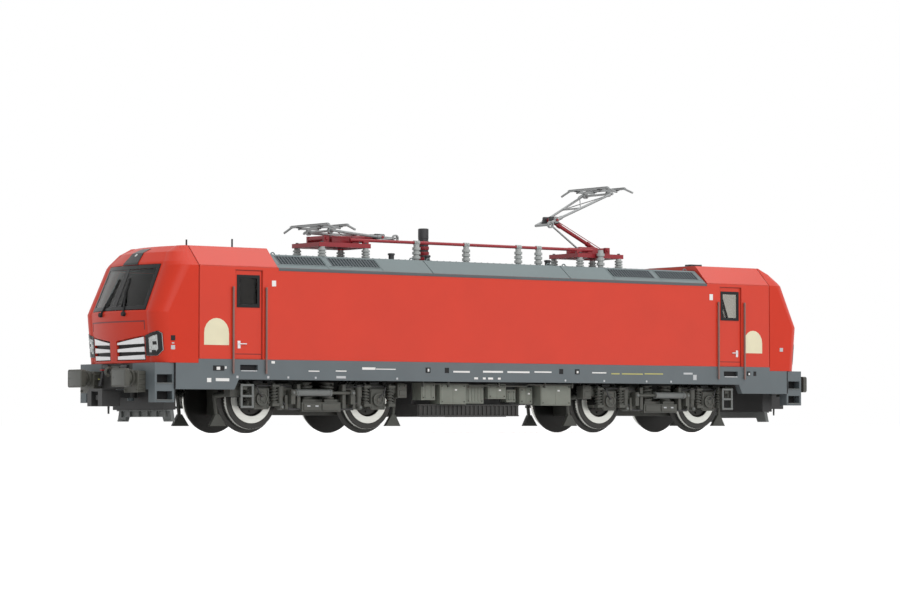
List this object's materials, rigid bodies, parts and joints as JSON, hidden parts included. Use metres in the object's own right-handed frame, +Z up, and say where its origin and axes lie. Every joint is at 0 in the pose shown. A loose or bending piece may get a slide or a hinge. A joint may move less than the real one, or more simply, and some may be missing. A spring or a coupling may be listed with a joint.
{
  "type": "model electric locomotive",
  "caption": "Scale model electric locomotive with slanted cabs, louvred roof hatches, swivelling bogies, turning wheels, loop couplers and jointed single-arm pantographs.",
  "frame": {"origin": "on the floor under the middle of the model, at the level of the wheel flange tips", "axes": "+X along the model towards the end with the raised pantograph, +Y to the left side, +Z up"},
  "size_m": [0.219, 0.036, 0.0649],
  "materials": {
    "body_red": "satin",
    "roof_grey": "matt",
    "sill_grey": "matt",
    "bogie_grey": "matt",
    "die_cast": "matt",
    "wheel_steel": "darkened",
    "bright_steel": "bright",
    "window_glass": "tinted",
    "lamp_clear": "clear over silver",
    "bar_silver": "silver paint",
    "buffer_grey": "matt",
    "coupler_black": "matt",
    "equipment_grey": "matt",
    "tray_dark": "matt",
    "line_red": "satin",
    "arm_grey": "satin",
    "insulator_grey": "matt",
    "fitting_black": "matt",
    "handrail_steel": "satin",
    "interior_grey": "matt"
  },
  "bodies": {
    "locomotive_body": {"nose_a": "body_red", "nose_b": "body_red", "side_wall_left": "body_red", "side_wall_right": "body_red", "cab_roof_a": "body_red", "cab_roof_b": "body_red", "roof_hatch_a": "roof_grey", "roof_hatch_b": "roof_grey", "roof_hatch_middle": "roof_grey", "sill_left": "sill_grey", "sill_right": "sill_grey", "headstock_a": "sill_grey", "headstock_b": "sill_grey", "chassis": "die_cast", "drive_block": "die_cast", "end_blocks": "die_cast", "windscreens": "window_glass", "door_windows": "window_glass", "headlamps": "lamp_clear", "grille_bars": "bar_silver", "buffers": "buffer_grey", "rail_guards": "buffer_grey", "equipment_boxes": "equipment_grey", "transformer_tray": "tray_dark", "busbar": "line_red", "pantograph_base_a": "line_red", "pantograph_base_b": "line_red", "roof_insulators": "insulator_grey", "roof_fittings": "fitting_black", "handrails": "handrail_steel", "cab_interior_a": "interior_grey", "cab_interior_b": "interior_grey"},
    "bogie_a": {"bogie_frame_a": "bogie_grey", "gear_case_a": "bogie_grey", "bogie_springs_a": "bogie_grey"},
    "bogie_b": {"bogie_frame_b": "bogie_grey", "gear_case_b": "bogie_grey", "bogie_springs_b": "bogie_grey"},
    "wheels_1": {"wheelset_1": "wheel_steel", "brake_rings_1": "bright_steel"},
    "wheels_2": {"wheelset_2": "wheel_steel", "brake_rings_2": "bright_steel"},
    "wheels_3": {"wheelset_3": "wheel_steel", "brake_rings_3": "bright_steel"},
    "wheels_4": {"wheelset_4": "wheel_steel", "brake_rings_4": "bright_steel"},
    "lower_arm_a": {"lower_arm_a": "line_red"},
    "upper_arm_a": {"upper_arm_a": "arm_grey"},
    "contact_head_a": {"contact_head_a": "arm_grey"},
    "control_rod_a": {"control_rod_a": "arm_grey"},
    "lower_arm_b": {"lower_arm_b": "line_red"},
    "upper_arm_b": {"upper_arm_b": "arm_grey"},
    "contact_head_b": {"contact_head_b": "arm_grey"},
    "control_rod_b": {"control_rod_b": "arm_grey"},
    "coupler_a": {"coupler_a": "coupler_black"},
    "coupler_b": {"coupler_b": "coupler_black"}
  },
  "joints": [
    {"name": "bogie_a_swivel", "type": "hinge", "parent": "locomotive_body", "child": "bogie_a", "pos_m": [-0.05455, 0, 0.0176], "axis": [0, 0, 1], "range_deg": [-9, 9]},
    {"name": "bogie_b_swivel", "type": "hinge", "parent": "locomotive_body", "child": "bogie_b", "pos_m": [0.05455, 0, 0.0176], "axis": [0, 0, 1], "range_deg": [-9, 9]},
    {"name": "wheelset_1_spin", "type": "hinge", "parent": "bogie_a", "child": "wheels_1", "pos_m": [-0.0718, 0, 0.0082], "axis": [0, 1, 0], "continuous": true},
    {"name": "wheelset_2_spin", "type": "hinge", "parent": "bogie_a", "child": "wheels_2", "pos_m": [-0.0373, 0, 0.0082], "axis": [0, 1, 0], "continuous": true},
    {"name": "wheelset_3_spin", "type": "hinge", "parent": "bogie_b", "child": "wheels_3", "pos_m": [0.0373, 0, 0.0082], "axis": [0, 1, 0], "continuous": true},
    {"name": "wheelset_4_spin", "type": "hinge", "parent": "bogie_b", "child": "wheels_4", "pos_m": [0.0718, 0, 0.0082], "axis": [0, 1, 0], "continuous": true},
    {"name": "pantograph_a_raise", "type": "hinge", "parent": "locomotive_body", "child": "lower_arm_a", "pos_m": [-0.0455, 0, 0.0483], "axis": [0, -1, 0], "range_deg": [0, 39]},
    {"name": "pantograph_a_knee", "type": "hinge", "parent": "lower_arm_a", "child": "upper_arm_a", "pos_m": [-0.02752, 0, 0.04924], "axis": [0, -1, 0], "range_deg": [-78.3, 0.3]},
    {"name": "pantograph_a_head_level", "type": "hinge", "parent": "upper_arm_a", "child": "contact_head_a", "pos_m": [-0.045, 0, 0.05016], "axis": [0, -1, 0], "range_deg": [-0.3, 39.3]},
    {"name": "pantograph_a_rod_swing", "type": "hinge", "parent": "locomotive_body", "child": "control_rod_a", "pos_m": [-0.03697, 0, 0.04747], "axis": [0, -1, 0], "range_deg": [-0.3, 47.88]},
    {"name": "pantograph_b_raise", "type": "hinge", "parent": "locomotive_body", "child": "lower_arm_b", "pos_m": [0.0455, 0, 0.0483], "axis": [0, 1, 0], "range_deg": [-22, 17]},
    {"name": "pantograph_b_knee", "type": "hinge", "parent": "lower_arm_b", "child": "upper_arm_b", "pos_m": [0.02919, 0, 0.05591], "axis": [0, 1, 0], "range_deg": [-34.3, 44.3]},
    {"name": "pantograph_b_head_level", "type": "hinge", "parent": "upper_arm_b", "child": "contact_head_b", "pos_m": [0.04505, 0, 0.0633], "axis": [0, 1, 0], "range_deg": [-22.3, 17.3]},
    {"name": "pantograph_b_rod_swing", "type": "hinge", "parent": "locomotive_body", "child": "control_rod_b", "pos_m": [0.03697, 0, 0.04747], "axis": [0, 1, 0], "range_deg": [-27.62, 21.41]},
    {"name": "coupler_a_swing", "type": "hinge", "parent": "locomotive_body", "child": "coupler_a", "pos_m": [-0.0996, 0, 0.0091], "axis": [0, 0, 1], "range_deg": [-15, 15], "stiffness_Nm_per_rad": 0.0008},
    {"name": "coupler_b_swing", "type": "hinge", "parent": "locomotive_body", "child": "coupler_b", "pos_m": [0.0996, 0, 0.0091], "axis": [0, 0, 1], "range_deg": [-15, 15], "stiffness_Nm_per_rad": 0.0008}
  ],
  "couplings": [
    {"joint": "pantograph_a_knee", "follows": "pantograph_a_raise", "ratio": -2},
    {"joint": "pantograph_a_head_level", "follows": "pantograph_a_raise", "ratio": 1},
    {"joint": "pantograph_a_rod_swing", "follows": "pantograph_a_raise", "ratio": 1.22},
    {"joint": "pantograph_b_knee", "follows": "pantograph_b_raise", "ratio": -2},
    {"joint": "pantograph_b_head_level", "follows": "pantograph_b_raise", "ratio": 1},
    {"joint": "pantograph_b_rod_swing", "follows": "pantograph_b_raise", "ratio": 1.242}
  ]
}
